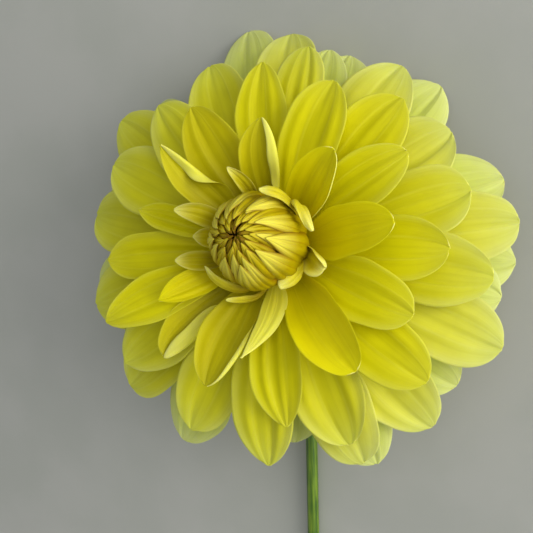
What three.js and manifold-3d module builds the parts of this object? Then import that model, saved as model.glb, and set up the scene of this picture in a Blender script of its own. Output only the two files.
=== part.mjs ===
// A cut dahlia: a fully double yellow flower head on its green stem, lying on its back on a flat
// surface. Millimetres and degrees, +Z up, the stem running out along -Y.
//
// The head is described in its own frame: the axis of the flower is the head's Z axis, z = 0 is
// the underside of the receptacle where the stem begins, and azimuth 0 is the head's X axis.
// Petals follow one another by the golden angle. Petal after petal starts lower on the receptacle,
// reaches farther out and opens flatter, so each petal lies on a shell of its own and the shells
// nest without touching.

import * as THREE from "three";
import { mergeVertices } from "three/addons/utils/BufferGeometryUtils.js";
import Module from "manifold-3d";

// ---------------------------------------------------------------- driving dimensions

const GOLDEN_ANGLE = 137.508;
const FIRST_AZIMUTH = 210;
const PETAL_THICKNESS = 0.5;
const FIRST_PETAL = 9;
const LAST_PETAL = 69;

// Turns of the spiral whose floret stayed small in the heart or is missing from the head.
const EMPTY_PLACES = [16, 52, 53, 68];

// The shells that carry the petals, from the heart outwards. Between two rows the values change
// evenly. base and tip are [radius, height]; the angles are measured from the flower's axis.
const SHELLS = [
  { index: 0, base: [5.4, 12.0], tip: [15.5, 28.0], rise: 72, open: 8, halfWidth: 2.8, cup: 50 },
  { index: 8, base: [6.6, 10.2], tip: [26.0, 25.0], rise: 68, open: 52, halfWidth: 5.4, cup: 30 },
  { index: 14, base: [7.6, 8.6], tip: [36.0, 20.5], rise: 68, open: 84, halfWidth: 7.2, cup: 22 },
  { index: 22, base: [8.8, 6.6], tip: [46.0, 15.5], rise: 70, open: 94, halfWidth: 8.6, cup: 20 },
  { index: 34, base: [10.2, 3.6], tip: [54.5, 8.0], rise: 75, open: 100, halfWidth: 9.6, cup: 18 },
  { index: 50, base: [11.2, 0.4], tip: [62.0, -3.5], rise: 84, open: 108, halfWidth: 10.3, cup: 16 },
  { index: 69, base: [11.8, -3.2], tip: [63.0, -11.0], rise: 92, open: 112, halfWidth: 10.3, cup: 15 },
];

// Petals that stand off the rule: a turn of some degrees, and a length of their own.
const SINGLE_PETALS = {
  9: { turn: -9, reach: 1.15, width: 1.08 },
  10: { turn: -1, reach: 0.96, width: 0.62 },
  11: { turn: -3, reach: 1.15, width: 0.95 },
  12: { turn: 6, reach: 1.13, width: 1.15 },
  13: { turn: -17, reach: 0.89, width: 0.72 },
  14: { turn: 2, reach: 0.9 },
  15: { turn: 2, reach: 1.1, width: 1.15 },
  17: { turn: -3, reach: 1.12 },
  18: { turn: -8, reach: 0.95 },
  20: { turn: -4 },
  21: { reach: 1.1, width: 0.85 },
  23: { turn: -11, width: 0.9 },
  24: { turn: 13, reach: 0.78, width: 0.55 },
  25: { turn: -14 },
  26: { turn: -10, reach: 0.8, width: 0.85 },
  27: { turn: -5, width: 0.85 },
  28: { reach: 1.08 },
  29: { reach: 0.93, width: 0.8 },
  31: { reach: 1.1 },
  33: { reach: 1.09 },
  34: { turn: 1, reach: 0.98 },
  35: { turn: 2, width: 0.78 },
  36: { turn: -7, reach: 0.99 },
  37: { turn: -11 },
  38: { turn: -11, reach: 0.95 },
  39: { turn: -3, reach: 0.96 },
  40: { turn: 2, reach: 0.98 },
  41: { turn: 5, reach: 1.12 },
  43: { turn: -2.5 },
  44: { turn: 11, reach: 1.03 },
  45: { reach: 1.1 },
  46: { reach: 1.06 },
  47: { turn: -8.5 },
  48: { turn: -2.5 },
  49: { turn: -2 },
  50: { turn: -6 },
  51: { turn: -4, reach: 0.87 },
  54: { turn: 3, reach: 0.95 },
  55: { reach: 0.85 },
  56: { turn: 7, reach: 0.91, width: 0.78 },
  59: { reach: 0.98 },
  60: { turn: -2 },
  61: { reach: 1.08 },
  62: { turn: -3, reach: 0.92 },
  65: { reach: 0.8 },
  67: { reach: 0.97 },
  69: { turn: -8, reach: 0.9 },
};

const PETAL_STATIONS = 7;
const PETAL_STRIPS = 4;

// Small florets that lean on the closed bud. place picks a shell between the first two rows.
const HEART_FLORETS = [
  { place: 0, azimuth: 204, reach: 0.72 },
  { place: 1, azimuth: 82, reach: 0.7 },
  { place: 2, azimuth: 298, reach: 0.5 },
  { place: 3, azimuth: 158, reach: 0.8 },
  { place: 4, azimuth: 40, reach: 0.62 },
  { place: 5, azimuth: 246, reach: 0.7 },
  { place: 6, azimuth: 106, reach: 0.92 },
  { place: 6.3, azimuth: 340, reach: 0.86 },
  { place: 6.6, azimuth: 189, reach: 0.9 },
  { place: 6, azimuth: 172, reach: 0.85 },
];
const HEART_STATIONS = 5;
const HEART_STRIPS = 2;

// The closed bud: [radius, height] from its hollow underside, which sits over the receptacle,
// round its widest place to the apex.
const BUD_PROFILE = [
  [0, 12.9],
  [5.0, 12.6],
  [6.7, 11.0],
  [7.5, 11.1],
  [10.3, 13.2],
  [12.5, 16.2],
  [13.1, 20.0],
  [12.3, 25.0],
  [10.0, 30.0],
  [6.4, 34.8],
  [2.8, 37.6],
  [0, 38.4],
];
const BUD_FACETS = 20;

// Stem and neck. The neck leaves the head along its axis, bends, and the stem runs on straight.
const STEM_RADIUS = 1.8;
const STEM_LENGTH = 118;
const NECK_STRAIGHT = 9;
const NECK_BEND_RADIUS = 18;
const NECK_BEND_ANGLE = 75;
const STEM_AZIMUTH = -94;
const STEM_STEPS = 22;
const STEM_FACETS = 6;

const SEAT_GAP = 0.35;
const RECEPTACLE_FACETS = 24;
const RECEPTACLE_CROWN = 12.3;
const FLARE = [
  [0, -11.0],
  [1.9, -11.0],
  [3.4, -8.2],
  [7.0, -6.2],
  [10.6, -4.6],
];

// The calyx: a ring of green bracts joined at their feet, under the last petals.
const BRACT_COUNT = 8;
const BRACT_THICKNESS = 0.7;
const BRACT_HALF_WIDTH = 4.2;
const BRACT_FOOT = [8.6, -6.4];
const BRACT_TIP = [25.0, -12.5];
const CALYX_RING = [
  [6.0, -7.8],
  [11.2, -5.7],
  [10.6, -5.05],
  [6.2, -6.95],
];

// How the flower rests on two of its last petals and the end of its stem: the yaw that points
// the stem along -Y, then the roll and the pitch that lay it down.
const REST_YAW = 4;
const REST_ROLL = 4.4;
const REST_PITCH = -14.6;

const degrees = THREE.MathUtils.degToRad;

// ---------------------------------------------------------------- shells and petals

/** The shell of one place on the spiral, with every value between two rows of SHELLS. */
function shellAt(index) {
  const last = SHELLS.length - 2;
  let row = SHELLS.findIndex((shell, i) => i > last || index <= SHELLS[i + 1].index);
  row = Math.min(row, last);
  const [low, high] = [SHELLS[row], SHELLS[row + 1]];
  const t = (index - low.index) / (high.index - low.index);
  const mix = (a, b) => THREE.MathUtils.lerp(a, b, t);
  return {
    base: [mix(low.base[0], high.base[0]), mix(low.base[1], high.base[1])],
    tip: [mix(low.tip[0], high.tip[0]), mix(low.tip[1], high.tip[1])],
    rise: mix(low.rise, high.rise),
    open: mix(low.open, high.open),
    halfWidth: mix(low.halfWidth, high.halfWidth),
    cup: mix(low.cup, high.cup),
  };
}

/** The profile of a shell in the (radius, height) plane as one cubic curve. */
function shellCurve(shell) {
  const base = new THREE.Vector2(...shell.base);
  const tip = new THREE.Vector2(...shell.tip);
  const handle = 0.38 * base.distanceTo(tip);
  const along = (angle) => new THREE.Vector2(Math.sin(degrees(angle)), Math.cos(degrees(angle)));
  return new THREE.CubicBezierCurve(
    base,
    base.clone().addScaledVector(along(shell.rise), handle),
    tip.clone().addScaledVector(along(shell.open), -handle),
    tip,
  );
}

/** Half width of a petal along its length, from its narrow claw to its blunt tip. */
function outline(t) {
  const CLAW = 0.22;
  const WIDEST = 0.6;
  const BLUNT = 0.14;
  const opening = THREE.MathUtils.smoothstep(t, 0, WIDEST);
  const closing = Math.max((t - WIDEST) / (1 - WIDEST), 0);
  const round = Math.pow(1 - closing ** 2.3, 0.58);
  return (CLAW + (1 - CLAW) * opening ** 0.8) * Math.max(round, BLUNT);
}

/**
 * A closed sheet of even thickness: pointAt(u, v) gives its middle, with u along it from 0 to 1
 * and v across it from -1 to 1. The stations crowd towards u = 1.
 */
function sheetGeometry(pointAt, stations, strips, thickness) {
  const step = 1e-3;
  const positions = [];
  const faces = [];
  for (const side of [0.5, -0.5]) {
    for (let i = 0; i < stations; i += 1) {
      for (let j = 0; j <= strips; j += 1) {
        const u = Math.sin((Math.PI / 2) * (i / (stations - 1)));
        const v = -1 + (2 * j) / strips;
        const along = pointAt(u + step, v).sub(pointAt(u - step, v));
        const across = pointAt(u, v + step).sub(pointAt(u, v - step));
        const normal = across.cross(along).normalize();
        const point = pointAt(u, v).addScaledVector(normal, side * thickness);
        positions.push(point.x, point.y, point.z);
      }
    }
  }
  const row = strips + 1;
  const back = stations * row;
  const quad = (a, b, c, d) => faces.push(a, b, c, a, c, d);
  for (let i = 0; i < stations - 1; i += 1) {
    for (let j = 0; j < strips; j += 1) {
      const k = i * row + j;
      quad(k, k + 1, k + row + 1, k + row);
      quad(back + k, back + k + row, back + k + row + 1, back + k + 1);
    }
    const left = i * row;
    const right = left + strips;
    quad(left, left + row, back + left + row, back + left);
    quad(right, back + right, back + right + row, right + row);
  }
  for (let j = 0; j < strips; j += 1) {
    const end = (stations - 1) * row + j;
    quad(j, back + j, back + j + 1, j + 1);
    quad(end, end + 1, back + end + 1, back + end);
  }
  const geometry = new THREE.BufferGeometry();
  geometry.setAttribute("position", new THREE.Float32BufferAttribute(positions, 3));
  geometry.setIndex(faces);
  geometry.computeVertexNormals();
  return geometry;
}

/** A petal lying on the shell of its place, cupped along its length. */
function petalGeometry(place, azimuth, { reach = 1, width = 1 }, stations, strips) {
  const shell = shellAt(place);
  const curve = shellCurve(shell);
  const cup = degrees(shell.cup);
  const pointAt = (u, v) => {
    const t = u * reach;
    const spine = curve.getPoint(t);
    const ahead = curve.getPoint(t + 0.01).sub(curve.getPoint(t - 0.01)).normalize();
    const half = shell.halfWidth * width * outline(THREE.MathUtils.clamp(u, 0, 1));
    const sideways = (half * Math.sin(v * cup)) / cup;
    const upward = (half * (1 - Math.cos(v * cup))) / cup;
    const radius = spine.x - upward * ahead.y;
    const height = spine.y + upward * ahead.x;
    const angle = degrees(azimuth) + sideways / Math.max(spine.x, 1);
    return new THREE.Vector3(radius * Math.cos(angle), radius * Math.sin(angle), height);
  };
  return sheetGeometry(pointAt, stations, strips, PETAL_THICKNESS);
}

/** A solid of revolution about the head's axis from [radius, height] points. */
function latheGeometry(profile, facets) {
  const points = profile.map(([radius, height]) => new THREE.Vector2(radius, height));
  return new THREE.LatheGeometry(points, facets).rotateX(Math.PI / 2);
}

// ---------------------------------------------------------------- joining solids

const wasm = await Module();
wasm.setup();

/** The solid of a closed geometry whose shared vertices are merged. */
function toSolid(geometry) {
  const bare = geometry.clone();
  bare.deleteAttribute("normal");
  bare.deleteAttribute("uv");
  const merged = mergeVertices(bare, 1e-4);
  const positions = merged.getAttribute("position").array;
  const corners = [];
  for (let i = 0; i < merged.index.count; i += 3) {
    const face = [0, 1, 2].map((j) => merged.index.getX(i + j));
    if (new Set(face).size === 3) {
      corners.push(...face);
    }
  }
  const vertProperties = new Float32Array(positions);
  const triVerts = new Uint32Array(corners);
  return new wasm.Manifold(new wasm.Mesh({ numProp: 3, vertProperties, triVerts }));
}

/** One geometry from several that run into each other. */
function joined(geometries) {
  const solid = geometries.map(toSolid).reduce((whole, next) => whole.add(next));
  const { vertProperties, triVerts } = solid.getMesh();
  const geometry = new THREE.BufferGeometry();
  geometry.setAttribute("position", new THREE.BufferAttribute(vertProperties, 3));
  geometry.setIndex(new THREE.BufferAttribute(triVerts, 1));
  geometry.computeVertexNormals();
  return geometry;
}

// ---------------------------------------------------------------- stem and receptacle

/** The centre line of neck and stem, from the underside of the head to the cut end. */
class StemCurve extends THREE.Curve {
  getPoint(t, target = new THREE.Vector3()) {
    const bendLength = NECK_BEND_RADIUS * degrees(NECK_BEND_ANGLE);
    const travelled = t * STEM_LENGTH;
    const turned = THREE.MathUtils.clamp(travelled - NECK_STRAIGHT, 0, bendLength);
    const angle = turned / NECK_BEND_RADIUS;
    const before = Math.min(travelled, NECK_STRAIGHT);
    const after = Math.max(travelled - NECK_STRAIGHT - bendLength, 0);
    const out = NECK_BEND_RADIUS * (1 - Math.cos(angle)) + after * Math.sin(angle);
    const down = before + NECK_BEND_RADIUS * Math.sin(angle) + after * Math.cos(angle);
    const azimuth = degrees(STEM_AZIMUTH);
    return target.set(out * Math.cos(azimuth), out * Math.sin(azimuth), -down);
  }
}

/** The domed receptacle that carries the petals, flaring out of the top of the stem. */
function receptacleGeometry() {
  const dome = SHELLS.map(({ base }) => [base[0] - SEAT_GAP, base[1] - SEAT_GAP / 2]).reverse();
  return latheGeometry([...FLARE, ...dome, [0, RECEPTACLE_CROWN]], RECEPTACLE_FACETS);
}

/** Stem, neck and receptacle are grown as one piece. */
function stemGeometry() {
  const section = new THREE.Shape().absarc(0, 0, STEM_RADIUS, 0, 2 * Math.PI);
  const tube = new THREE.ExtrudeGeometry(section, {
    steps: STEM_STEPS,
    curveSegments: STEM_FACETS,
    extrudePath: new StemCurve(),
  });
  return joined([receptacleGeometry(), tube]);
}

// ---------------------------------------------------------------- heart and calyx

/** The closed bud with the small florets that lean on it, tight together as one. */
function heartGeometry() {
  const florets = HEART_FLORETS.map(({ place, azimuth, reach }) =>
    petalGeometry(place, azimuth, { reach }, HEART_STATIONS, HEART_STRIPS),
  );
  return joined([latheGeometry(BUD_PROFILE, BUD_FACETS), ...florets]);
}

/** One bract of the calyx, pointed and bent a little down. */
function bractGeometry(azimuth) {
  const [foot, tip] = [new THREE.Vector2(...BRACT_FOOT), new THREE.Vector2(...BRACT_TIP)];
  const middle = new THREE.Vector2(0.55 * (foot.x + tip.x), 0.45 * (foot.y + tip.y));
  const curve = new THREE.QuadraticBezierCurve(foot, middle, tip);
  const pointAt = (u, v) => {
    const spine = curve.getPoint(u);
    const along = THREE.MathUtils.clamp(u, 0, 1);
    const half = BRACT_HALF_WIDTH * Math.max(Math.sqrt(1 - along ** 2.2), 0.12);
    const angle = degrees(azimuth) + (v * half) / spine.x;
    return new THREE.Vector3(spine.x * Math.cos(angle), spine.x * Math.sin(angle), spine.y);
  };
  return sheetGeometry(pointAt, HEART_STATIONS, HEART_STRIPS, BRACT_THICKNESS);
}

/** The calyx: a ring with its bracts evenly round it. */
function calyxGeometry() {
  const ring = latheGeometry([...CALYX_RING, CALYX_RING[0]], RECEPTACLE_FACETS);
  const bracts = Array.from({ length: BRACT_COUNT }, (_, i) =>
    bractGeometry((360 / BRACT_COUNT) * i),
  );
  return joined([ring, ...bracts]);
}

// ---------------------------------------------------------------- materials and assembly

const petalYellow = { color: 0xd6dc3a, roughness: 0.6 };
const heartYellow = { color: 0xc4b822, roughness: 0.6 };
const stemGreen = { color: 0x4f7a10, roughness: 0.5 };
const calyxGreen = { color: 0x6f8f2c, roughness: 0.55 };

/** A named piece of the flower. */
function piece(name, geometry, finish) {
  const mesh = new THREE.Mesh(geometry, new THREE.MeshStandardMaterial(finish));
  mesh.name = name;
  return mesh;
}

const head = new THREE.Group();
head.add(piece("stem", stemGeometry(), stemGreen));
head.add(piece("calyx", calyxGeometry(), calyxGreen));
head.add(piece("heart", heartGeometry(), heartYellow));
for (let place = FIRST_PETAL; place <= LAST_PETAL; place += 1) {
  if (!EMPTY_PLACES.includes(place)) {
    const own = SINGLE_PETALS[place] ?? {};
    const azimuth = FIRST_AZIMUTH - GOLDEN_ANGLE * place + (own.turn ?? 0);
    const geometry = petalGeometry(place, azimuth, own, PETAL_STATIONS, PETAL_STRIPS);
    head.add(piece(`petal_${String(place).padStart(2, "0")}`, geometry, petalYellow));
  }
}

head.rotation.set(degrees(REST_PITCH), degrees(REST_ROLL), degrees(REST_YAW));

const flower = new THREE.Group();
flower.add(head);

// The origin is the middle of the flower's bounding box, on the surface that it lies on.
const bounds = new THREE.Box3().setFromObject(flower, true);
const middle = bounds.getCenter(new THREE.Vector3());
head.position.set(-middle.x, -middle.y, -bounds.min.z);

export default flower;
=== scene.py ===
"""A cut dahlia lying on its back: petals, closed heart, calyx and stem, with a plain studio."""

import logging
import math
import random
from collections.abc import Iterable, Sequence
from dataclasses import dataclass
from enum import Enum
from typing import Protocol

import bpy
import numpy as np
from mathutils import Matrix, Vector


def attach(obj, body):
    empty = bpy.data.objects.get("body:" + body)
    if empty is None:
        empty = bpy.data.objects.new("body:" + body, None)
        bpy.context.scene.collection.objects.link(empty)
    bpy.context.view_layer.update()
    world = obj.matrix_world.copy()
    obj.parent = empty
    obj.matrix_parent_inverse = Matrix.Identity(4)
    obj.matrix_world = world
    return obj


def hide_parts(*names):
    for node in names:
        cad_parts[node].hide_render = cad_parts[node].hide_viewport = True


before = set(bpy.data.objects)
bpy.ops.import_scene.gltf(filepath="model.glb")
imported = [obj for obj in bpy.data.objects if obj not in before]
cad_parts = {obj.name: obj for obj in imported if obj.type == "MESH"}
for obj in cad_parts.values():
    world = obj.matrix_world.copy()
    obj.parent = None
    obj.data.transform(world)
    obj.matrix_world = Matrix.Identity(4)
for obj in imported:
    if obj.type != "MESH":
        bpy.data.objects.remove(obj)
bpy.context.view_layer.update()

log = logging.getLogger("dahlia")

# Short names for the types that pass from one function to the next.
Material = bpy.types.Material
Node = bpy.types.Node
NodeTree = bpy.types.NodeTree
Piece = bpy.types.Object
Span = tuple[float, float]

MM = 0.001
# Degrees from each petal to the next that grew after it.
GOLDEN_ANGLE = 137.508
FIRST_AZIMUTH = 210.0


# ------------------------------------------------------------------ small helpers


def srgb(hex_colour: str) -> tuple[float, float, float, float]:
    """Turns an sRGB hex colour into the linear colour that shaders take.

    Args:
        hex_colour: Six hex digits with or without a leading hash.

    Returns:
        Linear red, green and blue with an alpha of one.
    """
    digits = hex_colour.lstrip("#")
    channels = [int(digits[i : i + 2], 16) / 255 for i in (0, 2, 4)]
    linear = [c / 12.92 if c <= 0.04045 else ((c + 0.055) / 1.055) ** 2.4 for c in channels]
    return (*linear, 1.0)


def per_metre(spacing_mm: float) -> float:
    """The scale of a pattern whose features lie this many millimetres apart."""
    return 1 / (spacing_mm * MM)


def smoothstep(x: np.ndarray, low: float, high: float) -> np.ndarray:
    """Rises evenly and softly from 0 at low to 1 at high."""
    t = np.clip((np.asarray(x, float) - low) / (high - low), 0, 1)
    return t * t * (3 - 2 * t)


def ridge(x: np.ndarray, centre: float, width: float) -> np.ndarray:
    """A smooth bump of height 1 at centre."""
    return np.exp(-(((x - centre) / width) ** 2))


def running_sum(steps: np.ndarray) -> np.ndarray:
    """The places reached by steps from 0, along the first axis."""
    return np.concatenate([[0], np.cumsum(steps)])


def unit(vectors: np.ndarray) -> np.ndarray:
    """Vectors of length 1 along the last axis."""
    return vectors / np.linalg.norm(vectors, axis=-1, keepdims=True)


def places_rounding(stations: int) -> np.ndarray:
    """Places from 0 to 1 that draw together towards 1, as along a quarter circle."""
    return np.sin(np.linspace(0, 1, stations) * math.pi / 2)


def places_tapering(stations: int) -> np.ndarray:
    """Places from 0 to 1 that draw together towards 1, for a sheet that ends in a point."""
    return 1 - (1 - np.linspace(0, 1, stations)) ** 1.4


def catmull(values: np.ndarray, at: np.ndarray) -> np.ndarray:
    """A smooth curve through values at the whole places 0, 1, 2 and so on.

    Args:
        values: The values to pass through, one row for each place.
        at: Where to read the curve.

    Returns:
        The curve's value at each place asked for.
    """
    slopes = np.gradient(values, axis=0)
    i = np.clip(at.astype(int), 0, len(values) - 2)
    t = (at - i)[:, None]
    return (
        (2 * t**3 - 3 * t**2 + 1) * values[i]
        + (t**3 - 2 * t**2 + t) * slopes[i]
        + (3 * t**2 - 2 * t**3) * values[i + 1]
        + (t**3 - t**2) * slopes[i + 1]
    )


def add_node(
    tree: NodeTree,
    kind: str,
    settings: dict[str, object] | None = None,
    inputs: dict[str | int, object] | None = None,
    stops: Sequence[tuple[float, str | float]] = (),
) -> Node:
    """Adds one shader node with its settings, socket values and links.

    Args:
        tree: The material's node tree.
        kind: The node's type name.
        settings: Properties of the node itself.
        inputs: Values by input name or number. An output socket is linked instead, and a node
            stands for its first output.
        stops: A colour ramp's places, each with its hex colour or its grey level.

    Returns:
        The new node.
    """
    node = tree.nodes.new(kind)
    for name, value in (settings or {}).items():
        setattr(node, name, value)
    for name, value in (inputs or {}).items():
        source = value.outputs[0] if isinstance(value, Node) else value
        if isinstance(source, bpy.types.NodeSocket):
            tree.links.new(source, node.inputs[name])
        else:
            node.inputs[name].default_value = source
    if stops:
        ramp = node.color_ramp
        ramp.interpolation = "EASE"
        for _ in stops[len(ramp.elements) :]:
            ramp.elements.new(1.0)
        for element, (place, value) in zip(ramp.elements, stops):
            element.position = place
            element.color = srgb(value) if isinstance(value, str) else (value, value, value, 1.0)
    return node


def empty_material(name: str) -> Material:
    """Makes a material that has no nodes yet.

    Args:
        name: The material's name.

    Returns:
        The new material.
    """
    material = bpy.data.materials.new(name)
    material.use_nodes = True
    material.node_tree.nodes.clear()
    return material


def link_object(name: str, data: bpy.types.ID) -> Piece:
    """Makes an object of a mesh, a lamp or a camera and links it to the scene.

    Args:
        name: The object's name.
        data: What it shows.

    Returns:
        The new object.
    """
    thing = bpy.data.objects.new(name, data)
    bpy.context.scene.collection.objects.link(thing)
    return thing


# ------------------------------------------------------------------ the head's own frame


@dataclass(frozen=True)
class HeadFrame:
    """The frame in which the head is described, in millimetres.

    Its Z axis is the flower's axis, and z = 0 is the underside of the receptacle. The three
    angles lay the head on its last petals; the place comes from the apex of the heart.
    """

    yaw: float = 4.0
    roll: float = 4.4
    pitch: float = -14.6
    apex_height: float = 38.4

    def rotation(self) -> Matrix:
        """The turn from the head's frame to the row's frame."""
        return (
            Matrix.Rotation(math.radians(self.pitch), 3, "X")
            @ Matrix.Rotation(math.radians(self.roll), 3, "Y")
            @ Matrix.Rotation(math.radians(self.yaw), 3, "Z")
        )

    def origin(self) -> Vector:
        """Finds the head's origin from the apex of the solid model's heart.

        Returns:
            The origin in the row's frame, in metres.
        """
        axis = self.rotation() @ Vector((0, 0, 1))
        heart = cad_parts["heart"].data.vertices
        apex = max((v.co for v in heart), key=axis.dot)
        return apex - axis * self.apex_height * MM

    def to_row(self, points: np.ndarray) -> np.ndarray:
        """Moves points from the head's frame to the row's frame.

        Args:
            points: Millimetres in the head's frame, with the last axis of length 3.

        Returns:
            The same points in metres in the row's frame.
        """
        turn = np.array(self.rotation())
        return points @ turn.T * MM + np.array(self.origin())


HEAD = HeadFrame()


# ------------------------------------------------------------------ meshes


class Side(Enum):
    """The material slots of a petal-like sheet."""

    FACE = 0
    REVERSE = 1


def build_object(
    name: str,
    points: np.ndarray,
    faces: list[tuple[int, ...]],
    slots: list[int] | None = None,
    uv: np.ndarray | None = None,
    rim_from: int | None = None,
) -> Piece:
    """Makes a smooth-shaded object from points in the head's frame.

    Args:
        name: The object's name.
        points: One row of millimetres for each vertex.
        faces: Vertex numbers of each face.
        slots: The material number of each face.
        uv: Two surface coordinates for each vertex.
        rim_from: The first face of a crisp rim, which is left flat-shaded to the last face.

    Returns:
        The new object, still without its materials.
    """
    mesh = bpy.data.meshes.new(name)
    mesh.from_pydata(HEAD.to_row(points).tolist(), [], faces)
    if slots is not None:
        mesh.polygons.foreach_set("material_index", slots)
    if uv is not None:
        layer = mesh.uv_layers.new(name="surface")
        corners = np.empty(len(mesh.loops), int)
        mesh.loops.foreach_get("vertex_index", corners)
        layer.data.foreach_set("uv", uv[corners].ravel())
    smooth = [rim_from is None or i < rim_from for i in range(len(faces))]
    mesh.polygons.foreach_set("use_smooth", smooth)
    mesh.validate()
    mesh.update()
    return link_object(name, mesh)


def sheet_normals(middle: np.ndarray) -> np.ndarray:
    """Unit normals of a grid of points, pointing to the face side.

    Args:
        middle: Points by station along the sheet and strip across it.

    Returns:
        One unit vector for each point.
    """
    along = np.gradient(middle, axis=0)
    across = np.gradient(middle, axis=1)
    normal = np.cross(across, along)
    return normal / np.maximum(np.linalg.norm(normal, axis=-1, keepdims=True), 1e-9)


def thinned(middle: np.ndarray, thickness: float, rim: float, power: int, tip: float) -> np.ndarray:
    """The thickness of a sheet that thins towards its rims and at its tip.

    Args:
        middle: The sheet's points by station and strip.
        thickness: Its thickness along the middle, in millimetres.
        rim: The share of the thickness that is lost at the rims.
        power: How close to the rims the thinning keeps.
        tip: The share of the thickness that is left at the last station.

    Returns:
        The thickness at each point, in millimetres.
    """
    aside = np.abs(np.linspace(-1, 1, middle.shape[1]))
    thick = np.tile(thickness * (1 - rim * aside**power), (len(middle), 1))
    thick[-1] *= tip
    return thick


def sheet_object(
    name: str, middle: np.ndarray, thickness: np.ndarray, drift: float = 0.0
) -> Piece:
    """A closed sheet round a grid of middle points.

    Args:
        name: The object's name.
        middle: Points by station and strip, millimetres in the head's frame.
        thickness: Thickness at each point, in millimetres.
        drift: How far the pattern's middle lies to one side, as a share of the half width.

    Returns:
        The new object. Its surface coordinates run 0 to 1 across and 0 to 1 along.
    """
    rows, columns, _ = middle.shape
    offset = sheet_normals(middle) * thickness[..., None] / 2
    points = np.concatenate([(middle + offset).reshape(-1, 3), (middle - offset).reshape(-1, 3)])
    back = rows * columns
    faces, slots = [], []
    for i in range(rows - 1):
        for j in range(columns - 1):
            k = i * columns + j
            b = back + k
            faces.append((k, k + 1, k + columns + 1, k + columns))
            faces.append((b, b + columns, b + columns + 1, b + 1))
            slots += [Side.FACE.value, Side.REVERSE.value]
    rim_from = len(faces)
    last = columns - 1
    for i in range(rows - 1):
        a, c = i * columns, (i + 1) * columns
        faces.append((a, c, back + c, back + a))
        faces.append((a + last, back + a + last, back + c + last, c + last))
    for j in range(columns - 1):
        end = (rows - 1) * columns + j
        faces.append((j, back + j, back + j + 1, j + 1))
        faces.append((end, end + 1, back + end + 1, back + end))
    slots += [Side.FACE.value] * (len(faces) - len(slots))
    across = np.linspace(-1, 1, columns)
    across = (across + drift * (1 - across**2) + 1) / 2
    u, v = np.meshgrid(across, np.linspace(0, 1, rows))
    uv = np.stack([u, v], -1).reshape(-1, 2)
    return build_object(name, points, faces, slots, np.concatenate([uv, uv]), rim_from)


def revolved_object(name: str, profile: Sequence[Span], facets: int = 64) -> Piece:
    """A solid of revolution about the head's axis.

    Args:
        name: The object's name.
        profile: Radius and height pairs from the axis round to the axis.
        facets: How many steps go round.

    Returns:
        The new object.
    """
    inner = profile[1:-1]
    turns = np.arange(facets) * 2 * math.pi / facets
    points = [(r * math.cos(a), r * math.sin(a), z) for r, z in inner for a in turns]
    bottom, top = len(points), len(points) + 1
    points += [(0, 0, profile[0][1]), (0, 0, profile[-1][1])]
    high = (len(inner) - 1) * facets
    faces = []
    for j in range(facets):
        k = (j + 1) % facets
        faces.append((bottom, k, j))
        faces.append((top, high + j, high + k))
        for a in range(0, high, facets):
            faces.append((a + j, a + k, a + facets + k, a + facets + j))
    return build_object(name, np.array(points), faces)


def hand_over(piece: Piece, skins: Iterable[Material], node: str) -> None:
    """Dresses a piece, hangs it from the root body and hides the node that it replaces.

    Args:
        piece: The piece, still without its materials.
        skins: Its materials in the order of its material numbers.
        node: The node of the solid model that it replaces.
    """
    for skin in skins:
        piece.data.materials.append(skin)
    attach(piece, "root")
    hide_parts(node)


# ------------------------------------------------------------------ finishes


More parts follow.
